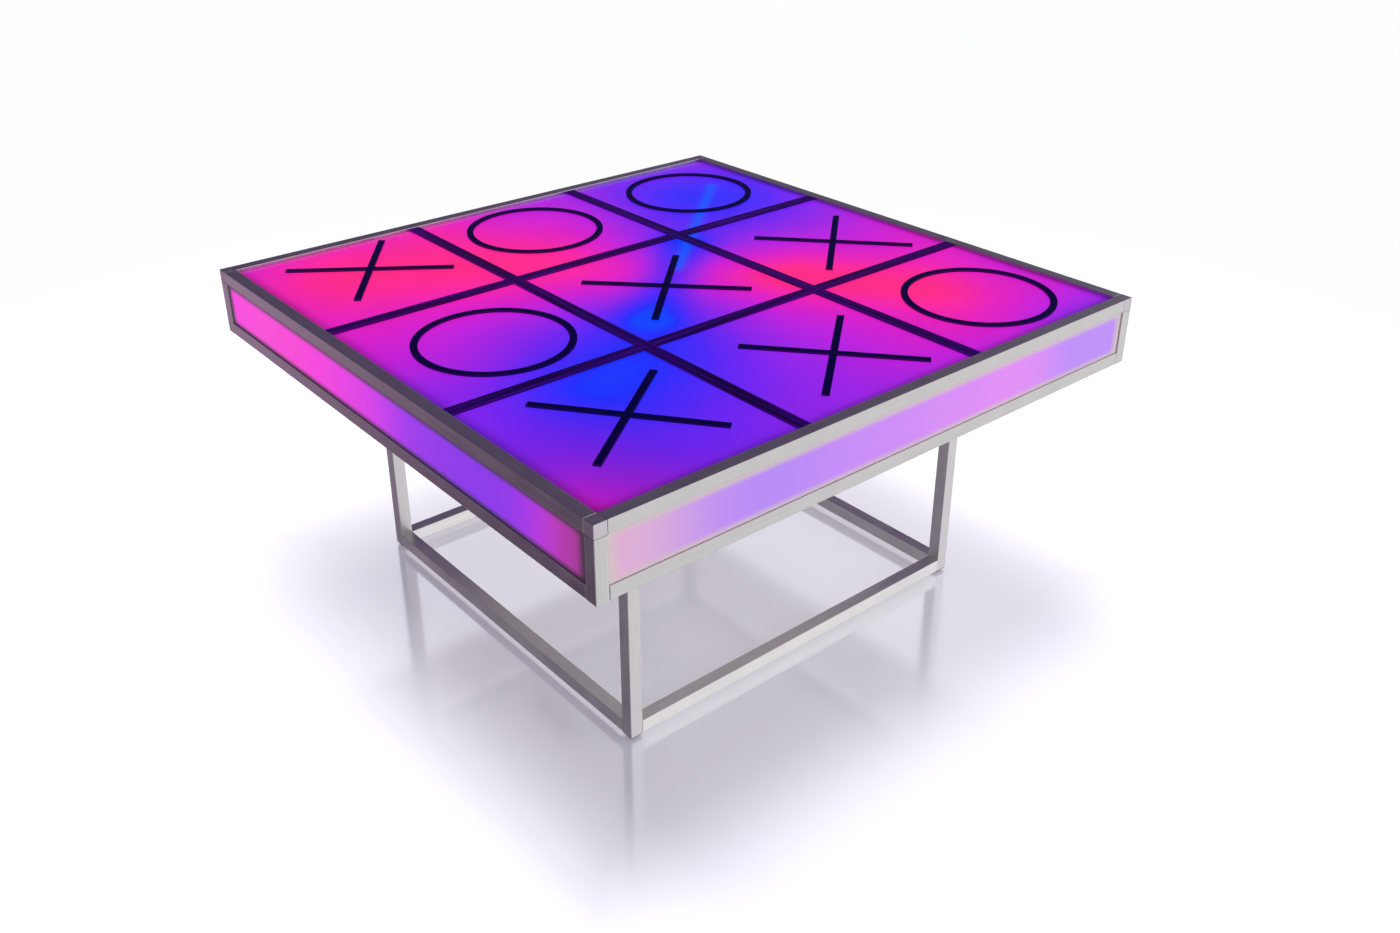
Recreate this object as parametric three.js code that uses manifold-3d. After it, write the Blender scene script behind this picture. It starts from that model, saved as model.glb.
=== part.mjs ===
// Light-up coffee table with a noughts and crosses top, in millimetres with +Z up.
// The origin is on the floor under the middle of the table. -Y is the front and -X the left side.
import * as THREE from 'three';
import { mergeVertices } from 'three/addons/utils/BufferGeometryUtils.js';
import { RoundedBoxGeometry } from 'three/addons/geometries/RoundedBoxGeometry.js';
import Module from 'manifold-3d';

const wasm = await Module();
wasm.setup();

// Whole table
const overallSide = 914;
const overallHeight = 457;

// Clearances
const seam = 0.3; // between pieces that butt together or plug into each other
const laidGap = 0.1; // under a piece that lies or is glued on a flat face
const panelGap = 0.5; // round a panel in its frame
const cutOverrun = 1; // how far a cutting tool runs past what it cuts

// Light box frame, aluminium tube with fins
const boxHeight = 96;
const boxTube = 17.5;
const boxWall = 1.6;
const finThickness = 1.6;
const sideFinReach = 8; // fin behind the long edges of a side panel
const ledgeReach = 12; // ledge under the top panel or the floor board
const stubLength = 18; // connector stub inside a rail or post
const tubeEdgeRadius = 1;
const connectorEdgeRadius = 0.6;

// Panels of the light box
const topPanelRecess = 4.5;
const topPanelThickness = 6;
const sidePanelRecess = 2;
const sidePanelThickness = 3;
const floorBoardThickness = 12;
const wireHoleRadius = 10;

// Board game
const gridBarWidth = 18;
const gridBarThickness = 3;
const pieceThickness = 3;
const pieceStroke = 10;
const noughtMargin = 34; // free width between a nought and the sides of its cell
const crossMargin = 55; // the same for a cross whose arms point at the corners of its cell

// Base frame, square steel tube
const baseSide = 608;
const baseTube = 19;
const baseWall = 1.5;
const glideHeight = 5;
const glideRadius = 6;
const glideFlangeThickness = 1.5; // the flange that the leg stands on
const glideFlangeInset = 0.8; // from the side of the leg to the flange
const glidePlugLength = 14;

// Light strips
const ledStripWidth = 12;
const ledStripThickness = 2;
const ledEndGap = 75; // from the end of a strip to the corner of the floor board
const ledPitch = 50;
const ledChipSide = 5;
const ledChipHeight = 1.6;
const ledBridgeRamp = 12; // length of the slope where one strip climbs over the other

// Control housing under the floor board, and what it holds
const housingWall = 2;
const housingFlange = 10;
const housingSideGap = 4; // free width beside the battery and the controller
const wiringSpace = 34; // free depth behind the battery, for the switch and the socket
const accessGap = 60; // from the base rail to the face with the switch
const batteryLength = 150;
const batteryWidth = 68;
const batteryHeight = 27;
const batteryEdgeRadius = 3;
const controllerLength = 64;
const controllerWidth = 46;
const controllerHeight = 18;
const terminalLength = 9;
const terminalHeight = 8;

// Rocker switch
const rockerLength = 16;
const rockerHeight = 10;
const rockerPivotDepth = 2; // pivot below the face of the switch
const rockerProud = 3; // end of the rocker above the face when it is level
const rockerDip = 1; // middle of the rocker above the face
const rockerHeelDepth = 3; // bottom of the rocker below the pivot
const rockerHeelWidth = 6;
const rockerPinRadius = 1.2;
const rockerPinLength = 1;
const rockerTilt = THREE.MathUtils.degToRad(8);
const switchWall = 1.3;
const switchRim = 1.6;

// Charging socket
const socketBoreRadius = 4;
const socketWall = 1.6;
const socketRim = 2;
const socketRimThickness = 2;
const socketBoreDepth = 10;
const socketSpacing = 34; // from the middle of the switch to the middle of the socket

// Roundness
const edgeSegments = 2;
const smallRoundSegments = 24;
const noughtSegments = 32;

// Sizes that follow from the ones above
const halfSide = overallSide / 2;
const boxBottom = overallHeight - boxHeight;
const frameInside = overallSide - 2 * boxTube;
const railLength = frameInside - 2 * seam;
const panelSide = frameInside - 2 * panelGap;
const playTop = overallHeight - topPanelRecess;
const topPanelBottom = playTop - topPanelThickness;
const floorBoardBottom = boxBottom + finThickness + laidGap;
const floorBoardTop = floorBoardBottom + floorBoardThickness;
const gridCell = (panelSide - 2 * gridBarWidth) / 3;
const gridBarOffset = (gridCell + gridBarWidth) / 2;
const cellPitch = gridCell + gridBarWidth;
const pieceBottom = playTop + laidGap;
const baseTop = boxBottom + finThickness;
const baseHalf = baseSide / 2;
const baseRailLength = baseSide - 2 * baseTube - 2 * seam;

// The four sides, each made as the front one and turned about the middle of the table
const sides = [
  { name: 'front', turn: 0 },
  { name: 'right', turn: Math.PI / 2 },
  { name: 'back', turn: Math.PI },
  { name: 'left', turn: -Math.PI / 2 },
];

// The four corners, each made as the front left one and turned the same way
const corners = [
  { name: 'front_left', turn: 0 },
  { name: 'front_right', turn: Math.PI / 2 },
  { name: 'back_right', turn: Math.PI },
  { name: 'back_left', turn: -Math.PI / 2 },
];

// The game pieces as they were laid down. A piece lies off the middle of its cell by shares of its
// free margin, along X and Y, and is turned by some degrees from square.
const gamePieces = [
  { name: 'cross_front_left', kind: 'cross', column: -1, row: -1, offsetShares: [0.27, 0.23], turn: -8 },
  { name: 'cross_front_middle', kind: 'cross', column: 0, row: -1, offsetShares: [0.31, -0.35], turn: -5 },
  { name: 'nought_front_right', kind: 'nought', column: 1, row: -1, offsetShares: [0.21, -0.42], turn: 0 },
  { name: 'nought_middle_left', kind: 'nought', column: -1, row: 0, offsetShares: [0.34, -0.32], turn: 0 },
  { name: 'cross_centre', kind: 'cross', column: 0, row: 0, offsetShares: [0.02, -0.09], turn: -1 },
  { name: 'cross_middle_right', kind: 'cross', column: 1, row: 0, offsetShares: [0.24, -0.49], turn: -3 },
  { name: 'cross_back_left', kind: 'cross', column: -1, row: 1, offsetShares: [0.23, 0.46], turn: 9 },
  { name: 'nought_back_middle', kind: 'nought', column: 0, row: 1, offsetShares: [-0.15, 0.45], turn: 0 },
  { name: 'nought_back_right', kind: 'nought', column: 1, row: 1, offsetShares: [0.1, 0.21], turn: 0 },
];

const finish = (color, roughness, metalness) =>
  new THREE.MeshStandardMaterial({ color, roughness, metalness });
const materials = {
  aluminium: finish(0xb9b6b4, 0.38, 1),
  steel: finish(0xb3aeaa, 0.4, 1),
  connector: finish(0xa9a6a6, 0.42, 1),
  topPanel: finish(0x9c2fdc, 0.25, 0),
  sidePanel: finish(0xc58af0, 0.4, 0),
  floorBoard: finish(0xf1f0ee, 0.8, 0),
  blackAcrylic: finish(0x0c0a12, 0.2, 0),
  ledStrip: finish(0xf4f2e6, 0.5, 0),
  housing: finish(0xe0e0dc, 0.55, 0),
  battery: finish(0x2f5d9b, 0.45, 0),
  controller: finish(0xe4e4e2, 0.5, 0),
  switchBlack: finish(0x151517, 0.35, 0),
  glide: finish(0xc9c9cc, 0.5, 0),
};

// Turns a closed geometry into a solid that can be joined and cut
function solidFrom(geometry) {
  const bare = geometry.clone();
  bare.deleteAttribute('normal');
  bare.deleteAttribute('uv');
  const merged = mergeVertices(bare);
  return new wasm.Manifold(new wasm.Mesh({
    numProp: 3,
    vertProperties: new Float32Array(merged.attributes.position.array),
    triVerts: new Uint32Array(merged.index.array),
  }));
}

// Turns a solid back into a geometry
function geometryFrom(solid) {
  const mesh = solid.getMesh();
  const geometry = new THREE.BufferGeometry();
  geometry.setAttribute('position', new THREE.BufferAttribute(new Float32Array(mesh.vertProperties), 3));
  geometry.setIndex(new THREE.BufferAttribute(new Uint32Array(mesh.triVerts), 1));
  geometry.computeVertexNormals();
  return geometry;
}

// A box between its low and high corner
function block(low, high) {
  const size = high.map((value, axis) => value - low[axis]);
  const middle = high.map((value, axis) => (value + low[axis]) / 2);
  return new THREE.BoxGeometry(...size).translate(...middle);
}

const blockSolid = (low, high) => solidFrom(block(low, high));

function squarePath(path, low, high) {
  path.moveTo(low, low);
  path.lineTo(high, low);
  path.lineTo(high, high);
  path.lineTo(low, high);
  path.closePath();
  return path;
}

// Square tube section with rounded outer edges, its outer corner at the origin
function tubeSection(side, wall, radius) {
  const far = side - radius;
  const section = new THREE.Shape();
  section.moveTo(radius, 0);
  section.lineTo(far, 0);
  section.absarc(far, radius, radius, -Math.PI / 2, 0);
  section.lineTo(side, far);
  section.absarc(far, far, radius, 0, Math.PI / 2);
  section.lineTo(radius, side);
  section.absarc(radius, far, radius, Math.PI / 2, Math.PI);
  section.lineTo(0, radius);
  section.absarc(radius, radius, radius, Math.PI, 1.5 * Math.PI);
  section.holes.push(squarePath(new THREE.Path(), wall, side - wall));
  return section;
}

const extrude = (section, depth, curveSegments = edgeSegments) =>
  new THREE.ExtrudeGeometry(section, { depth, curveSegments, bevelEnabled: false });

// A tube along X: its section's first axis points along +Y and its second along +Z
function tubeAlongX(side, wall, length) {
  const sectionToFrame = new THREE.Matrix4().makeBasis(
    new THREE.Vector3(0, 1, 0),
    new THREE.Vector3(0, 0, 1),
    new THREE.Vector3(1, 0, 0),
  );
  const geometry = extrude(tubeSection(side, wall, tubeEdgeRadius), length);
  return geometry.translate(0, 0, -length / 2).applyMatrix4(sectionToFrame);
}

// Rail of the light box at the front: a tube, a fin behind the side panel and a ledge inside.
// The fin leaves the tube towards the side panel, which lies below a top rail and above a lower one.
function boxRail(railBottom, finDown, ledgeTop) {
  const front = -halfSide;
  const railTop = railBottom + boxTube;
  const finFront = front + sidePanelRecess + sidePanelThickness + laidGap;
  const finLow = finDown ? railBottom - sideFinReach : railTop - boxWall;
  const finHigh = finDown ? railBottom + boxWall : railTop + sideFinReach;
  const ledgeFront = front + boxTube - boxWall;
  const ledgeBack = front + boxTube + ledgeReach;
  const ledgeHalf = railLength / 2 - ledgeReach;
  const tube = solidFrom(tubeAlongX(boxTube, boxWall, railLength).translate(0, front, railBottom));
  const fin = blockSolid(
    [-railLength / 2, finFront, finLow],
    [railLength / 2, finFront + finThickness, finHigh],
  );
  const ledge = blockSolid(
    [-ledgeHalf, ledgeFront, ledgeTop - finThickness],
    [ledgeHalf, ledgeBack, ledgeTop],
  );
  return geometryFrom(tube.add(fin).add(ledge));
}

const topRail = () => boxRail(overallHeight - boxTube, true, topPanelBottom - laidGap);
const lowerRail = () => boxRail(boxBottom, false, boxBottom + finThickness);

function cornerPost() {
  const length = boxHeight - boxTube - seam;
  const post = extrude(tubeSection(boxTube, boxWall, tubeEdgeRadius), length);
  return post.translate(-halfSide, -halfSide, boxBottom);
}

// Cube at a top corner, with a stub into each rail and one down into the post
function cornerConnector() {
  const middle = boxTube / 2;
  const stubHalf = middle - boxWall - seam;
  const near = middle - stubHalf;
  const far = middle + stubHalf;
  const reach = boxTube + stubLength;
  const start = boxTube - boxWall;
  const cube = new RoundedBoxGeometry(boxTube, boxTube, boxTube, edgeSegments, connectorEdgeRadius);
  const solid = solidFrom(cube.translate(middle, middle, middle))
    .add(blockSolid([start, near, near], [reach, far, far]))
    .add(blockSolid([near, start, near], [far, reach, far]))
    .add(blockSolid([near, near, -stubLength], [far, far, boxWall]));
  return geometryFrom(solid).translate(-halfSide, -halfSide, overallHeight - boxTube);
}

function topPanel() {
  const half = panelSide / 2;
  return block([-half, -half, topPanelBottom], [half, half, playTop]);
}

function sidePanel() {
  const half = panelSide / 2;
  const front = -halfSide + sidePanelRecess;
  return block(
    [-half, front, boxBottom + boxTube + laidGap],
    [half, front + sidePanelThickness, overallHeight - boxTube - panelGap],
  );
}

// White board with a hole for the wires over the control housing
function floorBoard() {
  const half = panelSide / 2;
  const board = blockSolid([-half, -half, floorBoardBottom], [half, half, floorBoardTop]);
  const drillLength = floorBoardThickness + 2 * cutOverrun;
  const drill = new THREE.CylinderGeometry(wireHoleRadius, wireHoleRadius, drillLength, smallRoundSegments);
  drill.rotateX(Math.PI / 2);
  const holeY = housing.frontFace + housing.depth / 2;
  drill.translate(housing.left + housing.width / 2, holeY, floorBoardBottom);
  drill.translate(0, 0, floorBoardThickness / 2);
  return geometryFrom(board.subtract(solidFrom(drill)));
}

// Grid bar along X. Half of its thickness is cut away where the bars along Y cross it,
// from above for the bars along X and from below for the bars along Y.
function gridBar(place, cutFromAbove) {
  const half = panelSide / 2;
  const width = gridBarWidth / 2;
  const top = pieceBottom + gridBarThickness;
  const lap = pieceBottom + gridBarThickness / 2;
  const cutLow = cutFromAbove ? lap - laidGap / 2 : pieceBottom - cutOverrun;
  const cutHigh = cutFromAbove ? top + cutOverrun : lap + laidGap / 2;
  const cutHalf = width + laidGap;
  let bar = blockSolid([-half, place - width, pieceBottom], [half, place + width, top]);
  for (const crossing of [-gridBarOffset, gridBarOffset]) {
    bar = bar.subtract(blockSolid(
      [crossing - cutHalf, place - gridBarWidth, cutLow],
      [crossing + cutHalf, place + gridBarWidth, cutHigh],
    ));
  }
  return geometryFrom(bar);
}

// Cross of two arms along the diagonals of a square as wide as the cell less its margins
function cross() {
  const square = gridCell - 2 * crossMargin;
  const half = square / Math.SQRT2;
  const stroke = pieceStroke / 2;
  const armX = blockSolid([-half, -stroke, 0], [half, stroke, pieceThickness]);
  const armY = blockSolid([-stroke, -half, 0], [stroke, half, pieceThickness]);
  return geometryFrom(armX.add(armY)).rotateZ(Math.PI / 4);
}

function nought() {
  const outer = gridCell / 2 - noughtMargin;
  const ring = new THREE.Shape();
  ring.absarc(0, 0, outer, 0, 2 * Math.PI);
  const hole = new THREE.Path();
  hole.absarc(0, 0, outer - pieceStroke, 0, 2 * Math.PI);
  ring.holes.push(hole);
  return extrude(ring, pieceThickness, noughtSegments);
}

function gamePiece(piece) {
  const isCross = piece.kind === 'cross';
  const margin = isCross ? crossMargin : noughtMargin;
  const mesh = new THREE.Mesh(isCross ? cross() : nought(), materials.blackAcrylic);
  mesh.name = piece.name;
  mesh.rotation.z = THREE.MathUtils.degToRad(piece.turn);
  mesh.position.x = piece.column * cellPitch + piece.offsetShares[0] * margin;
  mesh.position.y = piece.row * cellPitch + piece.offsetShares[1] * margin;
  mesh.position.z = pieceBottom;
  return mesh;
}

function baseLeg() {
  const leg = extrude(tubeSection(baseTube, baseWall, tubeEdgeRadius), baseTop - glideHeight);
  return leg.translate(-baseHalf, -baseHalf, glideHeight);
}

const baseRail = (bottom) =>
  tubeAlongX(baseTube, baseWall, baseRailLength).translate(0, -baseHalf, bottom);

// Foot glide: a plug inside the leg, a flange that the leg stands on and a round pad under it
function footGlide() {
  const middle = baseTube / 2 - baseHalf;
  const flangeTop = glideHeight - laidGap;
  const flangeBottom = flangeTop - glideFlangeThickness;
  const plugHalf = baseTube / 2 - baseWall - seam;
  const flangeHalf = baseTube / 2 - glideFlangeInset;
  const pad = new THREE.CylinderGeometry(glideRadius, glideRadius, flangeTop, smallRoundSegments);
  pad.rotateX(Math.PI / 2);
  pad.translate(middle, middle, flangeTop / 2);
  const flange = blockSolid(
    [middle - flangeHalf, middle - flangeHalf, flangeBottom],
    [middle + flangeHalf, middle + flangeHalf, flangeTop],
  );
  const plug = blockSolid(
    [middle - plugHalf, middle - plugHalf, flangeBottom],
    [middle + plugHalf, middle + plugHalf, glideHeight + glidePlugLength],
  );
  return geometryFrom(solidFrom(pad).add(flange).add(plug));
}

// Side view of a light strip, flat or with a bridge over the other strip in its middle
function ledStripProfile(half, bridgeHeight) {
  const flat = ledStripWidth / 2 + seam + ledStripThickness;
  const foot = flat + ledBridgeRamp;
  const under = [
    [-half, 0],
    [-foot, 0],
    [-flat, bridgeHeight],
    [flat, bridgeHeight],
    [foot, 0],
    [half, 0],
  ];
  const over = under.map(([along, up]) => [along, up + ledStripThickness]).reverse();
  return new THREE.Shape([...under, ...over].map(([along, up]) => new THREE.Vector2(along, up)));
}

// Light strip along X with its light chips, resting at height zero
function ledStrip(bridgeHeight) {
  const half = panelSide / Math.SQRT2 - ledEndGap;
  const sideToFrame = new THREE.Matrix4().makeRotationX(Math.PI / 2);
  const width = ledStripWidth / 2;
  const strip = extrude(ledStripProfile(half, bridgeHeight), ledStripWidth);
  let solid = solidFrom(strip.translate(0, 0, -width).applyMatrix4(sideToFrame));
  const chip = ledChipSide / 2;
  for (let along = ledPitch; along < half - ledChipSide; along += ledPitch) {
    for (const middle of [-along, along]) {
      solid = solid.add(blockSolid(
        [middle - chip, -chip, ledStripThickness / 2],
        [middle + chip, chip, ledStripThickness + ledChipHeight],
      ));
    }
  }
  return geometryFrom(solid);
}

// Where the control housing lies, from what it holds and from the base rail behind it
function housingPlaces() {
  const insideWidth = batteryLength + controllerLength + 3 * housingSideGap;
  const insideDepth = Math.max(batteryWidth, controllerWidth) + housingSideGap + wiringSpace;
  const insideHeight = Math.max(batteryHeight, controllerHeight) + 2 * housingSideGap;
  const width = insideWidth + 2 * housingWall;
  const depth = insideDepth + 2 * housingWall;
  const backFace = baseHalf - baseTube - accessGap;
  const top = floorBoardBottom - laidGap;
  const bottom = top - insideHeight - housingWall;
  const faceMiddle = (top - housingWall + bottom) / 2;
  return {
    width,
    depth,
    top,
    bottom,
    backFace,
    frontFace: backFace - depth,
    left: -width / 2,
    floor: bottom + housingWall,
    batteryLeft: -width / 2 + housingWall + housingSideGap,
    switchX: width / 2 - housingWall - controllerLength,
    faceMiddle,
  };
}
const housing = housingPlaces();

// Sizes of the switch that the housing's cut-out and the rocker share
function switchPlaces() {
  const face = housing.backFace + laidGap + switchRim;
  const sweptLength = rockerLength / 2 / Math.cos(rockerTilt) + rockerPivotDepth * Math.tan(rockerTilt);
  const cavityHalfLength = sweptLength + seam;
  const cavityHalfHeight = rockerHeight / 2 + seam;
  const heelReach = Math.hypot(rockerHeelWidth / 2, rockerHeelDepth);
  return {
    face,
    pivotY: face - rockerPivotDepth,
    cavityHalfLength,
    cavityHalfHeight,
    cavityBottom: face - rockerPivotDepth - heelReach - seam,
    bodyHalfLength: cavityHalfLength + switchWall,
    bodyHalfHeight: cavityHalfHeight + switchWall,
  };
}
const rockerSwitch = switchPlaces();
const socketX = housing.switchX + socketSpacing;

function controlHousing() {
  const { left, width, frontFace, backFace, bottom, top, floor } = housing;
  const right = left + width;
  const flangeBottom = top - housingWall;
  const outer = blockSolid([left, frontFace, bottom], [right, backFace, top]);
  const flange = blockSolid(
    [left - housingFlange, frontFace - housingFlange, flangeBottom],
    [right + housingFlange, backFace + housingFlange, top],
  );
  const inside = blockSolid(
    [left + housingWall, frontFace + housingWall, floor],
    [right - housingWall, backFace - housingWall, top + cutOverrun],
  );
  const switchHole = blockSolid(
    [
      housing.switchX - rockerSwitch.bodyHalfLength - seam,
      backFace - housingWall - cutOverrun,
      housing.faceMiddle - rockerSwitch.bodyHalfHeight - seam,
    ],
    [
      housing.switchX + rockerSwitch.bodyHalfLength + seam,
      backFace + cutOverrun,
      housing.faceMiddle + rockerSwitch.bodyHalfHeight + seam,
    ],
  );
  const barrel = socketBoreRadius + socketWall + seam;
  const drill = new THREE.CylinderGeometry(
    barrel, barrel, housingWall + 2 * cutOverrun, smallRoundSegments,
  );
  drill.translate(socketX, backFace - housingWall / 2, housing.faceMiddle);
  return geometryFrom(outer.add(flange).subtract(inside).subtract(switchHole).subtract(solidFrom(drill)));
}

function batteryPack() {
  const battery = new RoundedBoxGeometry(
    batteryLength, batteryWidth, batteryHeight, edgeSegments, batteryEdgeRadius,
  );
  return battery.translate(
    housing.batteryLeft + batteryLength / 2,
    housing.frontFace + housingWall + housingSideGap + batteryWidth / 2,
    housing.floor + laidGap + batteryHeight / 2,
  );
}

// Controller: a flat case with a terminal block at each end
function ledController() {
  const left = housing.batteryLeft + batteryLength + housingSideGap;
  const front = housing.frontFace + housingWall + housingSideGap;
  const bottom = housing.floor + laidGap;
  const right = left + controllerLength;
  const back = front + controllerWidth;
  const terminalTop = bottom + terminalHeight;
  return geometryFrom(
    blockSolid(
      [left + terminalLength, front, bottom],
      [right - terminalLength, back, bottom + controllerHeight],
    ).add(blockSolid(
      [left, front + terminalLength, bottom],
      [right, back - terminalLength, terminalTop],
    )),
  );
}

function pinSolid(radius, halfLength) {
  const pin = new THREE.CylinderGeometry(radius, radius, 2 * halfLength, smallRoundSegments);
  pin.rotateX(Math.PI / 2);
  pin.translate(housing.switchX, rockerSwitch.pivotY, housing.faceMiddle);
  return solidFrom(pin);
}

function switchBody() {
  const x = housing.switchX;
  const z = housing.faceMiddle;
  const { face, cavityBottom, cavityHalfLength, cavityHalfHeight, bodyHalfLength, bodyHalfHeight } = rockerSwitch;
  const rimLength = bodyHalfLength + switchRim;
  const rimHeight = bodyHalfHeight + switchRim;
  const rim = blockSolid(
    [x - rimLength, face - switchRim, z - rimHeight],
    [x + rimLength, face, z + rimHeight],
  );
  const body = blockSolid(
    [x - bodyHalfLength, cavityBottom - switchWall, z - bodyHalfHeight],
    [x + bodyHalfLength, face, z + bodyHalfHeight],
  );
  const cavity = blockSolid(
    [x - cavityHalfLength, cavityBottom, z - cavityHalfHeight],
    [x + cavityHalfLength, face + cutOverrun, z + cavityHalfHeight],
  );
  const pinHole = pinSolid(rockerPinRadius + seam, rockerHeight / 2 + rockerPinLength + seam);
  return geometryFrom(rim.add(body).subtract(cavity).subtract(pinHole));
}

// Rocker, pressed down on its right end, with a pivot pin on each side
function switchRocker() {
  const half = rockerLength / 2;
  const heel = rockerHeelWidth / 2;
  const endTop = rockerPivotDepth + rockerProud;
  const outline = [
    [-half, 0],
    [-heel, -rockerHeelDepth],
    [heel, -rockerHeelDepth],
    [half, 0],
    [half, endTop],
    [0, rockerPivotDepth + rockerDip],
    [-half, endTop],
  ];
  const shape = new THREE.Shape(outline.map(([along, out]) => new THREE.Vector2(along, out)));
  const key = extrude(shape, rockerHeight);
  key.translate(0, 0, -rockerHeight / 2);
  key.rotateZ(-rockerTilt);
  key.translate(housing.switchX, rockerSwitch.pivotY, housing.faceMiddle);
  const pins = pinSolid(rockerPinRadius, rockerHeight / 2 + rockerPinLength);
  return geometryFrom(solidFrom(key).add(pins));
}

// Charging socket, turned about its own axis along Y, with an open bore
function chargingSocket() {
  const barrel = socketBoreRadius + socketWall;
  const face = housing.backFace + laidGap + socketRimThickness;
  const boreBottom = -socketBoreDepth;
  const profile = [
    [0, boreBottom - socketWall],
    [barrel, boreBottom - socketWall],
    [barrel, -socketRimThickness],
    [barrel + socketRim, -socketRimThickness],
    [barrel + socketRim, 0],
    [socketBoreRadius, 0],
    [socketBoreRadius, boreBottom],
    [0, boreBottom],
  ];
  const turned = new THREE.LatheGeometry(
    profile.map(([radius, out]) => new THREE.Vector2(radius, out)),
    smallRoundSegments,
  );
  return turned.translate(socketX, face, housing.faceMiddle);
}

function node(name, geometry, material, turn = 0) {
  const mesh = new THREE.Mesh(geometry, material);
  mesh.name = name;
  mesh.rotation.z = turn;
  return mesh;
}

function lightBox() {
  const group = new THREE.Group();
  for (const { name, turn } of sides) {
    group.add(node(`top_rail_${name}`, topRail(), materials.aluminium, turn));
    group.add(node(`lower_rail_${name}`, lowerRail(), materials.aluminium, turn));
    group.add(node(`side_panel_${name}`, sidePanel(), materials.sidePanel, turn));
  }
  for (const { name, turn } of corners) {
    group.add(node(`corner_post_${name}`, cornerPost(), materials.aluminium, turn));
    group.add(node(`corner_connector_${name}`, cornerConnector(), materials.connector, turn));
  }
  group.add(node('top_panel', topPanel(), materials.topPanel));
  group.add(node('floor_board', floorBoard(), materials.floorBoard));
  return group;
}

function boardGame() {
  const group = new THREE.Group();
  const quarter = Math.PI / 2;
  group.add(node('grid_bar_front', gridBar(-gridBarOffset, true), materials.blackAcrylic));
  group.add(node('grid_bar_back', gridBar(gridBarOffset, true), materials.blackAcrylic));
  group.add(node('grid_bar_right', gridBar(-gridBarOffset, false), materials.blackAcrylic, quarter));
  group.add(node('grid_bar_left', gridBar(gridBarOffset, false), materials.blackAcrylic, quarter));
  for (const piece of gamePieces) {
    group.add(gamePiece(piece));
  }
  return group;
}

function baseFrame() {
  const group = new THREE.Group();
  for (const { name, turn } of sides) {
    group.add(node(`base_lower_rail_${name}`, baseRail(glideHeight), materials.steel, turn));
    group.add(node(`base_upper_rail_${name}`, baseRail(baseTop - baseTube), materials.steel, turn));
  }
  for (const { name, turn } of corners) {
    group.add(node(`leg_${name}`, baseLeg(), materials.steel, turn));
    group.add(node(`foot_glide_${name}`, footGlide(), materials.glide, turn));
  }
  return group;
}

function lightAndPower() {
  const group = new THREE.Group();
  const bridge = ledStripThickness + seam;
  const diagonal = Math.PI / 4;
  const blueStrip = node('led_strip_front_left_to_back_right', ledStrip(0), materials.ledStrip, diagonal);
  const pinkStrip = node('led_strip_back_left_to_front_right', ledStrip(bridge), materials.ledStrip, -diagonal);
  for (const strip of [blueStrip, pinkStrip]) {
    strip.position.z = floorBoardTop + laidGap;
    group.add(strip);
  }
  group.add(node('control_housing', controlHousing(), materials.housing));
  group.add(node('battery_pack', batteryPack(), materials.battery));
  group.add(node('led_controller', ledController(), materials.controller));
  group.add(node('charging_socket', chargingSocket(), materials.switchBlack));
  group.add(node('switch_body', switchBody(), materials.switchBlack));
  group.add(node('switch_rocker', switchRocker(), materials.switchBlack));
  return group;
}

const table = new THREE.Group();
table.add(lightBox(), boardGame(), baseFrame(), lightAndPower());
export default table;
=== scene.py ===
import math

import bpy
import numpy as np
from mathutils import Matrix, Vector


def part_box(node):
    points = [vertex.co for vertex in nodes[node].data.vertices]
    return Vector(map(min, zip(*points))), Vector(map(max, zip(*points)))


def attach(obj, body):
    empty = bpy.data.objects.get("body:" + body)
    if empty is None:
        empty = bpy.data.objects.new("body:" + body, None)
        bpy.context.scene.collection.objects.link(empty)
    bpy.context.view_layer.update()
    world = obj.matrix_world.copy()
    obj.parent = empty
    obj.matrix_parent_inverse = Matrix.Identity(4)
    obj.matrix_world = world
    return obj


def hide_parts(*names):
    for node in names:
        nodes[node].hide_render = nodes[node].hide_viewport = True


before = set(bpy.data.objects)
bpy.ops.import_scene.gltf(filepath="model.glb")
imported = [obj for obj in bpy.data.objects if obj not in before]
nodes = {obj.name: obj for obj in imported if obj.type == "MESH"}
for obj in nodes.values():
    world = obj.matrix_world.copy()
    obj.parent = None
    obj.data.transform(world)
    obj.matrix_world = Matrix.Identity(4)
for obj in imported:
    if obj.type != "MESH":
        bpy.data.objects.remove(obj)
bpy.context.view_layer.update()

mm = 0.001
print("frame loaded,", len(nodes), "nodes")

# camera at the photo's viewing angle, looking at the front left corner
shot = {
    "place": (-1.0856, -1.3552, 1.1378),
    "heading": 39.93,  # degrees from +Y towards +X
    "down": 26.49,  # degrees below level
    "roll": -0.10,
    "lens": 33.9,  # mm
    "sensor": 36.0,  # mm
    "shift": (0.0071, -0.0475),
}


def makeCamera():
    eye = bpy.data.objects.new("camera", bpy.data.cameras.new("camera"))
    eye.data.sensor_width = shot["sensor"]
    eye.data.lens = shot["lens"]
    eye.data.shift_x, eye.data.shift_y = shot["shift"]
    turn = Matrix.Rotation(math.radians(-shot["heading"]), 4, "Z")
    tip = Matrix.Rotation(math.radians(90 - shot["down"]), 4, "X")
    roll = Matrix.Rotation(math.radians(shot["roll"]), 4, "Z")
    eye.matrix_world = Matrix.Translation(shot["place"]) @ turn @ tip @ roll
    bpy.context.scene.collection.objects.link(eye)
    bpy.context.scene.camera = eye


makeCamera()
bpy.context.scene.view_settings.view_transform = "Standard"
print("camera placed")


# inputs of a shader node filled, or linked where the value is the output of another node
def feed(tree, node, inputs):
    for key, value in inputs.items():
        if isinstance(value, bpy.types.NodeSocket):
            tree.links.new(value, node.inputs[key])
        else:
            node.inputs[key].default_value = value


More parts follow.
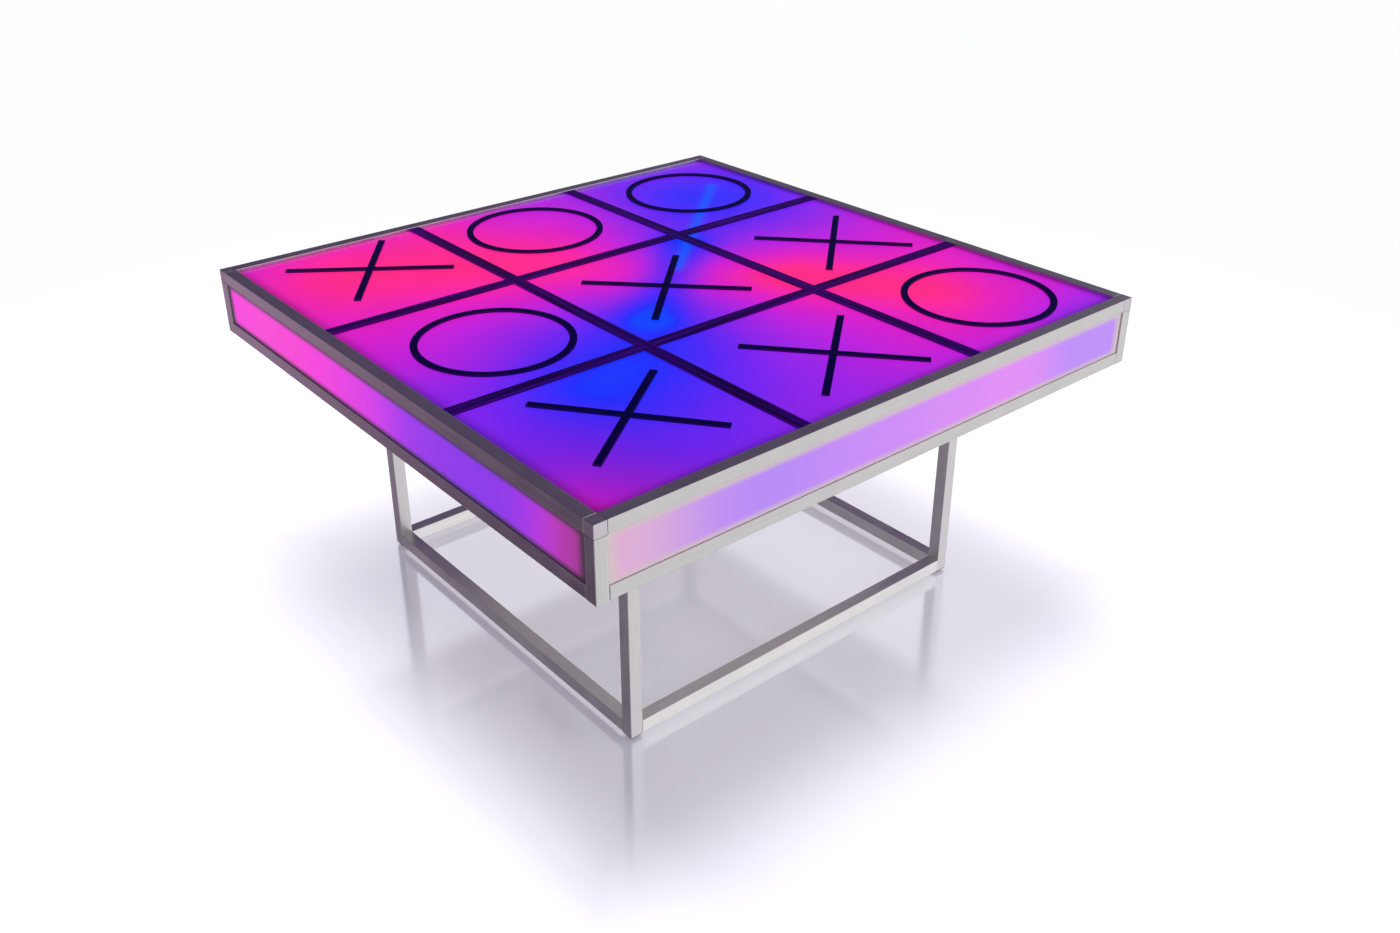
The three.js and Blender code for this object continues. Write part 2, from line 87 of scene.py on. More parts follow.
def addNode(tree, kind, inputs=None, **settings):
    made = tree.nodes.new(kind)
    for key, value in settings.items():
        setattr(made, key, value)
    feed(tree, made, inputs or {})
    return made


# one step of arithmetic, on numbers and on vectors
def calc(tree, operation, *values):
    return addNode(tree, "ShaderNodeMath", dict(enumerate(values)), operation=operation).outputs[0]


def vectorCalc(tree, operation, *values):
    made = addNode(tree, "ShaderNodeVectorMath", dict(enumerate(values)), operation=operation)
    return made.outputs["Value" if operation in ("DISTANCE", "DOT_PRODUCT", "LENGTH") else "Vector"]


# smoothstep of a value between low and high, carried onto start to end
def rampBetween(tree, value, low, high, start=0.0, end=1.0):
    inputs = {"Value": value, "From Min": low, "From Max": high, "To Min": start, "To Max": end}
    return addNode(tree, "ShaderNodeMapRange", inputs, interpolation_type="SMOOTHSTEP").outputs[0]


# exp(-(distance / reach)^2), with the reach in mm
def bell(tree, distance, reach):
    share = calc(tree, "DIVIDE", distance, reach * mm)
    return calc(tree, "EXPONENT", calc(tree, "MULTIPLY", calc(tree, "MULTIPLY", share, share), -1.0))


# light x (1 - taken x share)
def dimmed(tree, light, share, taken):
    return calc(tree, "MULTIPLY", calc(tree, "MULTIPLY_ADD", share, -taken, 1.0), light)


def mixColours(tree, share, first, second, blend="MIX"):
    inputs = {0: share, 6: first, 7: second}
    return addNode(tree, "ShaderNodeMix", inputs, data_type="RGBA", blend_type=blend).outputs[2]


def objectPlace(tree):
    return addNode(tree, "ShaderNodeTexCoord").outputs["Object"]


# the same place with its height left out
def flatPlace(tree, place):
    return vectorCalc(tree, "MULTIPLY", place, (1, 1, 0))


noiseSpan = (0.3, 0.7)  # nearly all of a noise's values lie between these


def noise(tree, place, scale, detail=3.0):
    inputs = {"Vector": place, "Scale": scale, "Detail": detail}
    return addNode(tree, "ShaderNodeTexNoise", inputs).outputs[0]


# noise drawn out into lines along one axis: cells per metre across the lines and along them
def lineNoise(tree, place, across, along, axis, detail=3.0):
    stretch = [across, across, across]
    stretch[axis] = along
    lines = addNode(tree, "ShaderNodeMapping", {"Vector": place, "Scale": stretch}).outputs[0]
    return noise(tree, lines, 1.0, detail)


# screen colour out of 255 to the linear colour that the shaders work in
def colour(red, green, blue):
    part = np.array([red, green, blue]) / 255
    linear = np.where(part <= 0.04045, part / 12.92, ((part + 0.055) / 1.055) ** 2.4)
    return (*linear.tolist(), 1.0)


def shaded(tone, share):
    return (*(part * share for part in tone[:3]), 1.0)


def newMaterial(name):
    material = bpy.data.materials.new(name)
    material.use_nodes = True
    tree = material.node_tree
    return material, tree, tree.nodes["Principled BSDF"]


# gloss that follows a noise by the change to both sides of its middle
def uneven(tree, value, middle, change):
    return rampBetween(tree, value, *noiseSpan, middle - change, middle + change)


# relief of a depth in mm
def relief(tree, height, strength, depth):
    inputs = {"Height": height, "Strength": strength, "Distance": depth * mm}
    return addNode(tree, "ShaderNodeBump", inputs).outputs[0]


# studio: a dark ceiling, a low surround, a broad soft light on the front side, and weaker ones low
# down at the back right, front left and back, with a dark screen inside the last. So the front faces
# of the metal are bright, its top faces dark and its left faces dark near the front corner
studio = {
    "ceiling": colour(94, 80, 110),
    "surround": colour(178, 170, 184),
    "surroundFrom": (-0.25, 0.1),  # height of a direction where the ceiling begins and where it is full
    "lights": [  # direction, where it starts and is full as cosines, brightness
        ((0.64, -0.77, 0.0), 0.05, 0.8, (1.09, 1.085, 1.11)),
        ((0.62, 0.62, -0.48), 0.72, 0.97, (0.98, 0.96, 1.0)),
        ((-0.66, -0.66, -0.36), 0.72, 0.97, (0.42, 0.40, 0.45)),
        ((-0.17, 0.82, -0.55), 0.86, 0.98, (0.72, 0.44, 0.68)),
        ((-0.47, 0.66, -0.58), 0.92, 0.995, (0.045, 0.022, 0.06)),
    ],
    "backdrop": colour(254, 254, 255),
}


def makeStudio():
    world = bpy.data.worlds.new("studio")
    bpy.context.scene.world = world
    world.use_nodes = True
    tree = world.node_tree
    tree.nodes.clear()
    direction = addNode(tree, "ShaderNodeTexCoord").outputs["Generated"]
    height = addNode(tree, "ShaderNodeSeparateXYZ", {0: direction}).outputs[2]
    share = rampBetween(tree, height, *studio["surroundFrom"])
    soft = mixColours(tree, share, studio["surround"], studio["ceiling"])
    for middle, starts, full, tone in studio["lights"]:
        towards = vectorCalc(tree, "DOT_PRODUCT", direction, Vector(middle).normalized())
        soft = mixColours(tree, rampBetween(tree, towards, starts, full), soft, (*tone, 1.0))
    lit = addNode(tree, "ShaderNodeBackground", {"Color": soft})
    seen = addNode(tree, "ShaderNodeBackground", {"Color": studio["backdrop"]})
    fromCamera = addNode(tree, "ShaderNodeLightPath").outputs["Is Camera Ray"]
    both = addNode(tree, "ShaderNodeMixShader", {0: fromCamera, 1: lit.outputs[0], 2: seen.outputs[0]})
    addNode(tree, "ShaderNodeOutputWorld", {"Surface": both.outputs[0]})


# suns, each for a few pieces: the direction that it comes from, and its width in degrees
suns = {
    "floorLamp": {"energy": 2.3, "tone": (1, 1, 1), "from": (0.05, 0.28, 1.0), "width": 38},
    "floorFill": {"energy": 1.45, "tone": (0.98, 0.955, 1.08), "from": (0.05, 0.28, 1.0), "width": 10,
                  "shadow": False},
    "sideLamp": {"energy": 8.6, "tone": (1.0, 1.0, 0.9), "from": (0.15, -1.0, 0.25), "width": 30,
                 "mirrored": False},
    "baseFill": {"energy": 0.056, "tone": (0.85, 1.1, 0.95), "from": (-0.43, 0.7, -0.57), "width": 50,
                 "shadow": False},  # thrown back by the floor onto the left faces of the base
}


# sun that lights only the pieces in its own collection, which it returns
def softSun(name):
    look = suns[name]
    lamp = bpy.data.lights.new(name, "SUN")
    lamp.energy = look["energy"]
    lamp.color = look["tone"]
    lamp.angle = math.radians(look["width"])
    lamp.use_shadow = look.get("shadow", True)
    lampObject = bpy.data.objects.new(name, lamp)
    lampObject.rotation_euler = Vector(look["from"]).to_track_quat("Z", "Y").to_euler()
    lampObject.visible_glossy = look.get("mirrored", True)
    bpy.context.scene.collection.objects.link(lampObject)
    lit = bpy.data.collections.new(name + "Lights")
    lampObject.light_linking.receiver_collection = lit
    return lit


# glossy floor that fades into the backdrop away from the table
floorLook = {
    "tone": colour(238, 238, 240),
    "rough": 0.105,
    "roughChange": 0.015,
    "cloud": 1.7,  # cells per metre of the slow change in its gloss
    "mirror": 0.42,  # share of the floor's light that is mirrored under the table
    "mirrorReach": (0.36, 0.58),  # m from the middle, square: where it starts to fade, and is gone
    "fade": (1.15, 1.9),  # m from the middle: where the floor starts to fade, and is gone
    "reach": 2.0,  # m
    "sky": 0.74,  # brightness of the dome that only the floor mirrors
    "skyReach": 12.0,  # m
    "rings": 13,
    "firstRing": 0.001,  # radians
    "steps": 48,
}


# mirrored share = smoothstep of the larger of |x| and |y|; clear share = smoothstep of the distance
def floorMaterial():
    material, tree, shader = newMaterial("glossyFloor")
    place = objectPlace(tree)
    cloud = noise(tree, place, floorLook["cloud"])
    rough = uneven(tree, cloud, floorLook["rough"], floorLook["roughChange"])
    across = addNode(tree, "ShaderNodeSeparateXYZ", {0: place})
    square = calc(tree, "MAXIMUM", *(calc(tree, "ABSOLUTE", across.outputs[axis]) for axis in (0, 1)))
    mirror = rampBetween(tree, square, *floorLook["mirrorReach"], floorLook["mirror"], 0.0)
    feed(tree, shader, {"Roughness": rough, "Metallic": mirror, "Base Color": floorLook["tone"]})
    gone = rampBetween(tree, vectorCalc(tree, "LENGTH", place), *floorLook["fade"])
    clear = addNode(tree, "ShaderNodeBsdfTransparent")
    faded = addNode(tree, "ShaderNodeMixShader", {0: gone, 1: shader.outputs[0], 2: clear.outputs[0]})
    feed(tree, tree.nodes["Material Output"], {"Surface": faded.outputs[0]})
    return material


def skyMaterial():
    material, tree, shader = newMaterial("floorSky")
    tree.nodes.remove(shader)
    glowing = addNode(tree, "ShaderNodeEmission", {"Color": (1, 1, 1, 1), "Strength": floorLook["sky"]})
    clear = addNode(tree, "ShaderNodeBsdfTransparent")
    both = addNode(tree, "ShaderNodeAddShader", {0: glowing.outputs[0], 1: clear.outputs[0]})
    feed(tree, tree.nodes["Material Output"], {"Surface": both.outputs[0]})
    material.cycles.emission_sampling = "NONE"
    return material


# quads between neighbouring rows of points; each row is a closed loop, and the rows close too if asked
def loopQuads(rows, columns, rowsClose=False):
    row = np.arange(rows if rowsClose else rows - 1)[:, None]
    column = np.arange(columns)[None, :]
    nextRow, nextColumn = (row + 1) % rows, (column + 1) % columns
    quads = [row * columns + column, row * columns + nextColumn,
             nextRow * columns + nextColumn, nextRow * columns + column]
    return np.stack(quads, axis=-1).reshape(-1, 4)


# disc or dome: rings of points from the middle outwards, at radius x sin(rise) and height x cos(rise)
def makeStage(name, reach, flat, material):
    rise = np.linspace(floorLook["firstRing"], math.pi / 2, floorLook["rings"])[:, None]
    turn = np.linspace(0, 2 * math.pi, floorLook["steps"], endpoint=False)
    out = reach * (rise / rise[-1] if flat else np.sin(rise))
    up = (0 if flat else reach) * np.cos(rise) + 0 * turn
    rings = np.stack([out * np.cos(turn), out * np.sin(turn), up], -1)
    mesh = bpy.data.meshes.new(name)
    mesh.from_pydata(rings.reshape(-1, 3).tolist(), [], loopQuads(*rings.shape[:2]).tolist())
    mesh.materials.append(material)
    stage = bpy.data.objects.new(name, mesh)
    bpy.context.scene.collection.objects.link(stage)
    return stage


# the floor has its own lamps and its own bright sky to mirror; the metal mirrors the studio alone
def makeFloor():
    floor = makeStage("floor", floorLook["reach"], True, floorMaterial())
    floor.visible_glossy = False
    floor.visible_diffuse = False
    onlyFloor = softSun("floorLamp")
    onlyFloor.objects.link(floor)
    softSun("floorFill").objects.link(floor)
    sky = makeStage("floorSky", floorLook["skyReach"], False, skyMaterial())
    sky.visible_camera = False
    sky.visible_diffuse = False
    sky.visible_shadow = False
    sky.light_linking.receiver_collection = onlyFloor


makeStudio()
makeFloor()
ownLamps = {"side_panels": softSun("sideLamp"), "base_frame": softSun("baseFill")}  # by material slot
print("studio and floor made")

# the glow of the light strips behind the opal panels, as a hue from 0 (blue) to 1 (pink): a base
# hue and soft patches along the strips, each with its two ends in mm, its change and its reach in mm
glow = {
    "base": 0.66,
    "patches": [
        ((-310, 320), (-60, 180), 0.34, 232),
        ((-240, -10), (-110, -5), -0.11, 92),
        ((175, -95), (270, -240), 0.34, 150),
        ((-270, -190), (-130, -122), -0.46, 112),
        ((-260, -350), (-180, -280), -0.24, 150),
        ((-82, -80), (140, 120), -0.44, 42),
        ((160, 140), (300, 240), -0.36, 128),
        ((270, 350), (380, 330), -0.22, 155),
        ((20, -110), (20, -100), -0.10, 70),
        ((370, 80), (370, 60), -0.08, 110),
        ((440, -20), (440, -120), 0.14, 100),
        ((110, -370), (300, -420), 0.08, 85),
        ((-440, -420), (-420, -440), 0.09, 100),
        ((440, -420), (430, -350), 0.07, 70),
        ((-475, -440), (-475, -475), 0.16, 75),
        ((350, -475), (450, -475), -0.23, 85),
        ((-180, -475), (300, -475), -0.045, 60),
        ((-475, -110), (-475, -280), -0.12, 85),
        ((-440, 120), (-440, 60), 0.06, 110),
        ((-110, 440), (-120, 430), 0.08, 90),
    ],
    "topHues": [
        (0.0, colour(2, 66, 254)),
        (0.12, colour(28, 43, 252)),
        (0.3, colour(76, 36, 246)),
        (0.45, colour(113, 33, 238)),
        (0.6, colour(152, 32, 228)),
        (0.73, colour(187, 28, 219)),
        (0.82, colour(210, 25, 204)),
        (0.9, colour(230, 28, 186)),
        (0.96, colour(246, 34, 158)),
        (1.0, colour(253, 38, 135)),
    ],
    "sideHues": [
        (0.3, colour(92, 44, 246)),
        (0.46, colour(126, 46, 244)),
        (0.6, colour(176, 48, 244)),
        (0.72, colour(216, 52, 242)),
        (0.86, colour(255, 52, 226)),
        (1.0, colour(255, 76, 184)),
    ],
    "streak": ((60, 42), (360, 312)),  # the bright blue line through the top
    "streakReach": 9,
    "streakShare": 0.85,
    "streakColour": colour(0, 86, 255),
}


# distance from a place on the panel to the nearest point of a line between two ends in mm
def distanceToLine(tree, place, start, end):
    start = Vector((*start, 0)) * mm
    along = Vector((*end, 0)) * mm - start
    fromStart = vectorCalc(tree, "SUBTRACT", place, start)
    share = vectorCalc(tree, "DOT_PRODUCT", fromStart, along)
    share = calc(tree, "DIVIDE", share, along.length_squared)
    share = calc(tree, "MAXIMUM", calc(tree, "MINIMUM", share, 1.0), 0.0)
    scaled = {0: along, "Scale": share}
    nearest = addNode(tree, "ShaderNodeVectorMath", scaled, operation="SCALE").outputs[0]
    return vectorCalc(tree, "DISTANCE", fromStart, nearest)


def softLine(tree, place, start, end, reach):
    return bell(tree, distanceToLine(tree, place, start, end), reach)


# hue = base + sum of change x exp(-(distance / reach)^2) over the patches
def makeGlow():
    tree = bpy.data.node_groups.new("stripGlow", "ShaderNodeTree")
    tree.interface.new_socket("Hue", in_out="OUTPUT", socket_type="NodeSocketFloat")
    tree.interface.new_socket("Streak", in_out="OUTPUT", socket_type="NodeSocketFloat")
    flat = flatPlace(tree, objectPlace(tree))
    hue = glow["base"]
    for start, end, change, reach in glow["patches"]:
        hue = calc(tree, "MULTIPLY_ADD", softLine(tree, flat, start, end, reach), change, hue)
    streak = softLine(tree, flat, *glow["streak"], glow["streakReach"])
    addNode(tree, "NodeGroupOutput", {0: hue, 1: calc(tree, "MULTIPLY", streak, glow["streakShare"])})
    return tree


stripGlow = makeGlow()


# colour of the glow through one kind of panel, and the share of the streak
def glowTint(tree, hues):
    lit = addNode(tree, "ShaderNodeGroup", node_tree=stripGlow)
    ramp = addNode(tree, "ShaderNodeValToRGB", {"Fac": lit.outputs["Hue"]})
    stops = ramp.color_ramp.elements
    while len(stops) < len(glow[hues]):
        stops.new(0.5)
    for stop, (at, tint) in zip(stops, glow[hues]):
        stop.position = at
        stop.color = tint
    return ramp.outputs[0], lit.outputs["Streak"]


# opal acrylic of the top and side panels, lit from inside
opal = {
    "ior": 1.49,
    "topStrength": 1.0,
    # painted shade: the top's body is near black, far darker than the sides' body of the same opal, for
    # the little light that falls on the top
    "topShadedBody": colour(14, 10, 16),
    "topRough": 0.22,
    "topShine": 0.11,
    "cloud": 9.0,  # cells per metre of the slow change in the light
    "cloudSpan": (0.2, 0.8),
    "cloudLight": (0.97, 1.03),  # at the two ends of that span
    # painted shade: the glow is dimmed along the frame's edges and at the front left corner
    "nearDim": (0.5, 12),  # light taken along the front and left edges, and its reach in mm
    "farDim": (0.3, 8),  # and along the back and right edges
    "cornerDim": ((-450, -450), (-400, -400), 120, 0.2),  # and at the front left corner, as in dims
    "sideStrength": 0.86,
    "sideRough": 0.35,
    # painted light in the body: a shade of the box's hollow behind the panel, and a reflection of the
    # pale fins behind its margins
    "sideHollowShade": colour(63, 57, 65),  # over the hollow of the box
    "sideFinReflection": colour(119, 107, 114),  # over the fins
    # painted shade over the glow near the front left corner
    "dims": [  # start, end and reach in mm, and how much light is missing there
        ((-440, -463), (-400, -463), 82, 0.62),
        ((-440, -470), (440, -470), 30, 0.22),
        ((-457, -440), (-457, -410), 36, 0.2),
    ],
    # painted shade: the glow fades towards the frame and its fins at each edge
    "fromTop": (0, 10),  # mm from each edge: where the light begins and where it is full
    "fromBottom": (-1, 10),
    "fromEnds": (2, 18),
}


# light = product over the four edges and the front left corner of
# 1 - taken x exp(-(distance / reach)^2): a painted shade of the frame over the glow
def opalTop():
    material, tree, shader = newMaterial("opalTop")
    place = objectPlace(tree)
    across = addNode(tree, "ShaderNodeSeparateXYZ", {0: place})
    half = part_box("top_panel")[1].x
    light = 1.0
    for axis in (0, 1):
        for sign, edge in ((1, "nearDim"), (-1, "farDim")):
            taken, reach = opal[edge]
            toEdge = calc(tree, "MULTIPLY_ADD", across.outputs[axis], sign, half)
            light = dimmed(tree, light, bell(tree, toEdge, reach), taken)
    start, end, reach, missing = opal["cornerDim"]
    light = dimmed(tree, light, softLine(tree, flatPlace(tree, place), start, end, reach), missing)
    cloud = noise(tree, place, opal["cloud"], detail=2.0)
    cloud = rampBetween(tree, cloud, *opal["cloudSpan"], *opal["cloudLight"])
    strength = calc(tree, "MULTIPLY", calc(tree, "MULTIPLY", light, cloud), opal["topStrength"])
    tint, streak = glowTint(tree, "topHues")
    tint = mixColours(tree, streak, tint, glow["streakColour"])
    feed(tree, shader, {"Emission Color": tint, "Emission Strength": strength,
                        "Base Color": opal["topShadedBody"], "Roughness": opal["topRough"],
                        "IOR": opal["ior"], "Specular IOR Level": opal["topShine"]})
    return material


# light = product over the panel's edges of smoothstep(distance from the edge), dimmed as the top is:
# a painted shade of the frame and fins over the glow. The body is a painted reflection of the fins
# where the light is missing, and a painted shade of the hollow box where it is full
def opalSide():
    material, tree, shader = newMaterial("opalSide")
    place = objectPlace(tree)
    parts = addNode(tree, "ShaderNodeSeparateXYZ", {0: place})
    low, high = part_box("side_panel_front")
    fromLow = calc(tree, "SUBTRACT", parts.outputs[2], low.z)
    fromHigh = calc(tree, "SUBTRACT", high.z, parts.outputs[2])
    across = calc(tree, "MINIMUM", *(calc(tree, "ABSOLUTE", parts.outputs[axis]) for axis in (0, 1)))
    fromEnd = calc(tree, "SUBTRACT", high.x, across)
    light = 1.0
    for distance, edge in ((fromLow, "fromBottom"), (fromHigh, "fromTop"), (fromEnd, "fromEnds")):
        begins, full = opal[edge]
        light = calc(tree, "MULTIPLY", rampBetween(tree, distance, begins * mm, full * mm), light)
    flat = flatPlace(tree, place)
    for start, end, reach, missing in opal["dims"]:
        light = dimmed(tree, light, softLine(tree, flat, start, end, reach), missing)
    tint = glowTint(tree, "sideHues")[0]
    strength = calc(tree, "MULTIPLY", light, opal["sideStrength"])
    body = mixColours(tree, light, opal["sideFinReflection"], opal["sideHollowShade"])
    feed(tree, shader, {"Emission Color": tint, "Emission Strength": strength, "Base Color": body,
                        "Roughness": opal["sideRough"], "IOR": opal["ior"]})
    return material


# brushed metal: fine scratches along one axis of the tube, and a slow change of tone
metalLooks = {
    "boxFrame": {"tone": colour(203, 201, 200), "rough": 0.36, "grain": 0.05, "axes": "XYZ"},
    # painted light: the base rails and the legs are one steel tube, the rails given a lighter tone and
    # the legs a darker one for how light falls on them
    "baseFrame": {"tone": colour(225, 222, 221), "rough": 0.36, "grain": 0.06, "axes": "XY"},
    "leg": {"tone": colour(206, 202, 204), "rough": 0.37, "grain": 0.05, "axes": "Z"},
    "corner": {"tone": colour(205, 200, 204), "rough": 0.42, "grain": 0.03, "axes": "Z"},
    "bolt": {"tone": colour(186, 184, 180), "rough": 0.3, "grain": 0.06, "axes": "YZ"},
}
brushing = {
    "across": 900.0,  # scratches per metre across them, and along them
    "along": 14.0,
    "cloud": 22.0,  # cells per metre of the slow change
    "share": 0.6,  # of the scratches in the tone, against the slow change
    "darker": 0.86,
    "darkerUpTo": 0.65,
    "bump": 0.12,
    "depth": 0.05,  # mm
}


# mixed = share x scratches + (1 - share) x cloud, which sets both the tone and the gloss
def brushedMetal(name, look, axis):
    material, tree, shader = newMaterial(name)
    place = objectPlace(tree)
    scratches = lineNoise(tree, place, brushing["across"], brushing["along"], axis)
    cloud = noise(tree, place, brushing["cloud"], detail=4.0)
    cloud = calc(tree, "MULTIPLY", cloud, 1 - brushing["share"])
    mixed = calc(tree, "MULTIPLY_ADD", scratches, brushing["share"], cloud)
    share = rampBetween(tree, mixed, noiseSpan[0], brushing["darkerUpTo"])
    tone = mixColours(tree, share, shaded(look["tone"], brushing["darker"]), look["tone"])
    feed(tree, shader, {"Metallic": 1.0, "Base Color": tone,
                        "Roughness": uneven(tree, mixed, look["rough"], look["grain"]),
                        "Normal": relief(tree, scratches, brushing["bump"], brushing["depth"])})
    return material


# black acrylic: a painted glow stands in for the little of the glow under it that it lets through,
# more at its cut sides, with fine lighter and darker stripes in that glow along the bars
acrylic = {
    # tone and through are a painted glow: light the acrylic gives off itself, in place of the panel's
    # light let through it
    "bar": {"tone": colour(32, 1, 81), "through": 0.016, "lines": 0.8, "rough": 0.2},
    "piece": {"tone": colour(2, 1, 54), "through": 0.002, "lines": 0.15, "rough": 0.14},
    "sideThrough": 0.07,
    "sideTurn": (0.3, 0.9),  # upward part of the normal: fully a side, and fully the flat face
    "dark": colour(3, 2, 6),
    "light": colour(6, 4, 10),
    "haze": 60.0,  # cells per metre of the cloud in its gloss and body
    "roughChange": 0.05,
    "glowStripesAcross": 420.0,  # stripes of the painted glow per metre across them, and along them
    "glowStripesAlong": 5.0,
    "glowStripesSpan": (0.35, 0.65),
    "ior": 1.49,
    "shine": 0.02,
}


# painted glow = tone x (1 +- lines) + through x glow, with sideThrough where the face turns upright
def blackAcrylic(name, look, axis):
    material, tree, shader = newMaterial(name)
    place = objectPlace(tree)
    haze = noise(tree, place, acrylic["haze"], detail=4.0)
    body = mixColours(tree, haze, acrylic["dark"], acrylic["light"])
    glowStripes = lineNoise(tree, place, acrylic["glowStripesAcross"], acrylic["glowStripesAlong"], axis, detail=2.0)
    darker, lighter = (shaded(look["tone"], 1 + sign * look["lines"]) for sign in (-1, 1))
    tone = mixColours(tree, rampBetween(tree, glowStripes, *acrylic["glowStripesSpan"]), darker, lighter)
    normal = addNode(tree, "ShaderNodeNewGeometry").outputs["Normal"]
    upward = addNode(tree, "ShaderNodeSeparateXYZ", {0: normal}).outputs[2]
    through = rampBetween(tree, upward, *acrylic["sideTurn"], acrylic["sideThrough"], look["through"])
    light = mixColours(tree, through, tone, glowTint(tree, "topHues")[0], "ADD")
    feed(tree, shader, {"Roughness": uneven(tree, haze, look["rough"], acrylic["roughChange"]),
                        "Base Color": body, "Emission Color": light, "Emission Strength": 1.0,
                        "IOR": acrylic["ior"], "Specular IOR Level": acrylic["shine"]})
    return material


sides = ("front", "right", "back", "left")
corners = ("front_left", "front_right", "back_right", "back_left")

# moulded or pressed plain parts: a tone, and a grain in the surface of so many cells per metre and
# of that depth in mm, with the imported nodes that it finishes
plainLooks = {
    "whiteBoard": {"tone": (240, 239, 234), "rough": 0.6, "grain": 260, "depth": 0.03,
                   "nodes": ["floor_board"]},
    "ledTape": {"tone": (240, 238, 228), "rough": 0.45, "grain": 500, "depth": 0.02,
                "nodes": ["led_strip_front_left_to_back_right", "led_strip_back_left_to_front_right"]},
    "housingPlastic": {"tone": (226, 226, 222), "rough": 0.55, "grain": 1400, "depth": 0.08,
                       "nodes": ["control_housing"]},
    "batterySleeve": {"tone": (38, 82, 146), "rough": 0.3, "grain": 90, "depth": 0.25,
                      "nodes": ["battery_pack"]},
    "controllerCase": {"tone": (228, 228, 225), "rough": 0.5, "grain": 900, "depth": 0.04,
                       "nodes": ["led_controller"]},
    "switchPlastic": {"tone": (20, 20, 22), "rough": 0.32, "grain": 1100, "depth": 0.04,
                      "nodes": ["charging_socket", "switch_body", "switch_rocker"]},
    "markPaint": {"tone": (236, 236, 230), "rough": 0.5, "grain": 1600, "depth": 0.02, "nodes": []},
    "glidePlastic": {"tone": (92, 91, 96), "rough": 0.5, "grain": 900, "depth": 0.05,
                     "nodes": ["foot_glide_" + corner for corner in corners]},
}
mottling = {
    "cloud": 35.0,  # cells per metre
    "darker": 0.93,
    "roughChange": 0.07,
    "bump": 0.4,
}


# tone from darker to full with a slow cloud, gloss and relief with the grain
def plainMaterial(name, look):
    material, tree, shader = newMaterial(name)
    place = objectPlace(tree)
    grain = noise(tree, place, look["grain"])
    tone = colour(*look["tone"])
    share = rampBetween(tree, noise(tree, place, mottling["cloud"]), *noiseSpan)
    mixed = mixColours(tree, share, shaded(tone, mottling["darker"]), tone)
    feed(tree, shader, {"Base Color": mixed,
                        "Roughness": uneven(tree, grain, look["rough"], mottling["roughChange"]),
                        "Normal": relief(tree, grain, mottling["bump"], look["depth"])})
    return material


materials = {"opalTop": opalTop(), "opalSide": opalSide(),
             "barAcrylicX": blackAcrylic("barAcrylicX", acrylic["bar"], 0),
             "barAcrylicY": blackAcrylic("barAcrylicY", acrylic["bar"], 1),
             "pieceAcrylic": blackAcrylic("pieceAcrylic", acrylic["piece"], 0)}
for metal, look in metalLooks.items():
    for letter in look["axes"]:
        materials[metal + letter] = brushedMetal(metal + letter, look, "XYZ".index(letter))
for name, look in plainLooks.items():
    materials[name] = plainMaterial(name, look)
print("finishes made")


# volume = sum of p0 . (p1 x p2) / 6 over the triangles of each face's fan; below zero is inside out
def signedVolume(points, quads, caps):
    fans = [quads[:, [0, 1, 2]], quads[:, [0, 2, 3]]]
    for cap in caps:
        fans.append(np.stack([np.full(len(cap) - 2, cap[0]), cap[1:-1], cap[2:]], axis=-1))
    a, b, c = (points[np.concatenate(fans)[:, k]] for k in range(3))
    return np.einsum("ij,ij->", a, np.cross(b, c)) / 6


sharpFrom = 40  # degrees between two faces that keep a hard edge


# points in mm, in rows of one closed loop each; open rows end in two flat caps
def makePiece(name, points, material, slot=None, replaced=(), body="table", rowsClose=False):
    rows, columns = points.shape[:2]
    flat = points.reshape(-1, 3) * mm
    quads = loopQuads(rows, columns, rowsClose)
    loop = np.arange(columns)
    caps = [] if rowsClose else [loop[::-1], loop + (rows - 1) * columns]
    if signedVolume(flat, quads, caps) < 0:
        quads = quads[:, ::-1]
        caps = [cap[::-1] for cap in caps]
    mesh = bpy.data.meshes.new(name)
    mesh.from_pydata(flat.tolist(), [], quads.tolist() + [cap.tolist() for cap in caps])
    mesh.materials.append(materials[material])
    mesh.shade_smooth()
    mesh.set_sharp_from_angle(angle=math.radians(sharpFrom))
    piece = bpy.data.objects.new(name, mesh)
    bpy.context.scene.collection.objects.link(piece)
    even = piece.modifiers.new("evenNormals", "WEIGHTED_NORMAL")
    even.keep_sharp = True
    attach(piece, body)
    if slot in ownLamps:
        ownLamps[slot].objects.link(piece)
    if replaced:
        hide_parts(*replaced)


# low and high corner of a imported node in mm
def boxOf(node):
    return [np.array(corner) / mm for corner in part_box(node)]


# square with round corners, counter-clockwise from the low corner: centre + radius x (cos, sin)
def roundedBox(width, height, radius, steps):
    quarter = np.linspace(0, math.pi / 2, steps)
    angles = (np.arange(4)[:, None] * math.pi / 2 + math.pi + quarter).ravel()
    centres = np.array([(radius, radius), (width - radius, radius),
                        (width - radius, height - radius), (radius, height - radius)])
    return np.repeat(centres, steps, axis=0) + radius * np.stack([np.cos(angles), np.sin(angles)], -1)


# each point of a closed outline moved inwards by the same distance, square to both of its edges
def inset(outline, distance):
    ahead = np.roll(outline, -1, axis=0) - outline
    ahead /= np.linalg.norm(ahead, axis=1, keepdims=True)
    behind = np.roll(ahead, 1, axis=0)
    outAhead = np.stack([ahead[:, 1], -ahead[:, 0]], -1)
    outBehind = np.stack([behind[:, 1], -behind[:, 0]], -1)
    reach = 1 + np.sum(outAhead * outBehind, axis=1, keepdims=True)
    return outline - distance * (outAhead + outBehind) / reach


# points of a piece on the front side or front left corner, turned about the middle by quarters
turns = {name: count for names in (sides, corners) for count, name in enumerate(names)}


